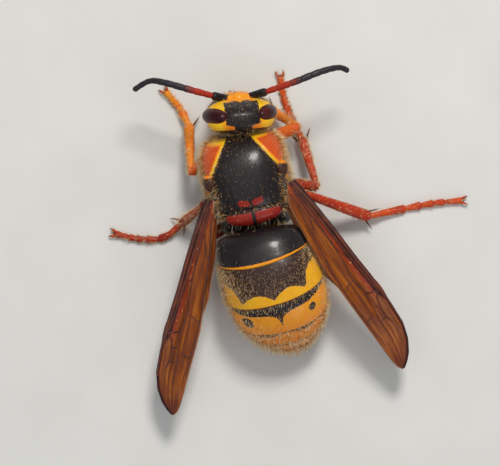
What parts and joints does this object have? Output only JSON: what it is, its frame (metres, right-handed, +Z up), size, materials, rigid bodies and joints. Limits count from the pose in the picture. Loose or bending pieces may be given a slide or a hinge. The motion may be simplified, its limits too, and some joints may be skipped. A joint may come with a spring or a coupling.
{
  "type": "median wasp model",
  "caption": "Still life-size model of a median wasp queen standing on six feet, wings folded back, antennae spread.",
  "frame": {"origin": "middle of the model's bounding box, on the floor that its six feet stand on", "axes": "+Z up from the floor, +Y towards the head, +X towards the insect's right side"},
  "size_m": [0.0268, 0.0245, 0.0071],
  "materials": {
    "cuticle_black": "glossy near-black cuticle with short hairs",
    "cuticle_yellow": "glossy warm yellow cuticle",
    "cuticle_orange": "glossy orange cuticle",
    "cuticle_red": "glossy red-brown cuticle",
    "eye_maroon": "very glossy dark maroon compound eye",
    "antenna_red": "satin ringed antenna, red near its root and dark beyond",
    "wing_amber": "smoky amber membrane with dark red-brown veins"
  },
  "bodies": {
    "root": {"head": "cuticle_black", "eye_left": "eye_maroon", "eye_right": "eye_maroon", "mandible_left": "cuticle_yellow", "mandible_right": "cuticle_yellow", "scape_left": "cuticle_black", "scape_right": "cuticle_black", "flagellum_left": "antenna_red", "flagellum_right": "antenna_red", "pronotum": "cuticle_orange", "mesothorax": "cuticle_black", "scutellum": "cuticle_red", "metanotum": "cuticle_black", "propodeum": "cuticle_black", "tegula_left": "cuticle_red", "tegula_right": "cuticle_red", "gaster_1": "cuticle_black", "gaster_2": "cuticle_black", "gaster_3": "cuticle_yellow", "gaster_4": "cuticle_orange", "gaster_5": "cuticle_orange", "gaster_6": "cuticle_orange", "forewing_left": "wing_amber", "forewing_right": "wing_amber", "hindwing_left": "wing_amber", "hindwing_right": "wing_amber", "front_left_coxa": "cuticle_black", "front_left_femur": "cuticle_orange", "front_left_tibia": "cuticle_orange", "front_left_tarsus": "cuticle_orange", "front_right_coxa": "cuticle_black", "front_right_femur": "cuticle_orange", "front_right_tibia": "cuticle_orange", "front_right_tarsus": "cuticle_orange", "mid_left_coxa": "cuticle_black", "mid_left_femur": "cuticle_red", "mid_left_tibia": "cuticle_red", "mid_left_tarsus": "cuticle_red", "mid_right_coxa": "cuticle_black", "mid_right_femur": "cuticle_red", "mid_right_tibia": "cuticle_red", "mid_right_tarsus": "cuticle_red", "hind_left_coxa": "cuticle_black", "hind_left_femur": "cuticle_red", "hind_left_tibia": "cuticle_red", "hind_left_tarsus": "cuticle_red", "hind_right_coxa": "cuticle_black", "hind_right_femur": "cuticle_red", "hind_right_tibia": "cuticle_red", "hind_right_tarsus": "cuticle_red"}
  },
  "joints": []
}
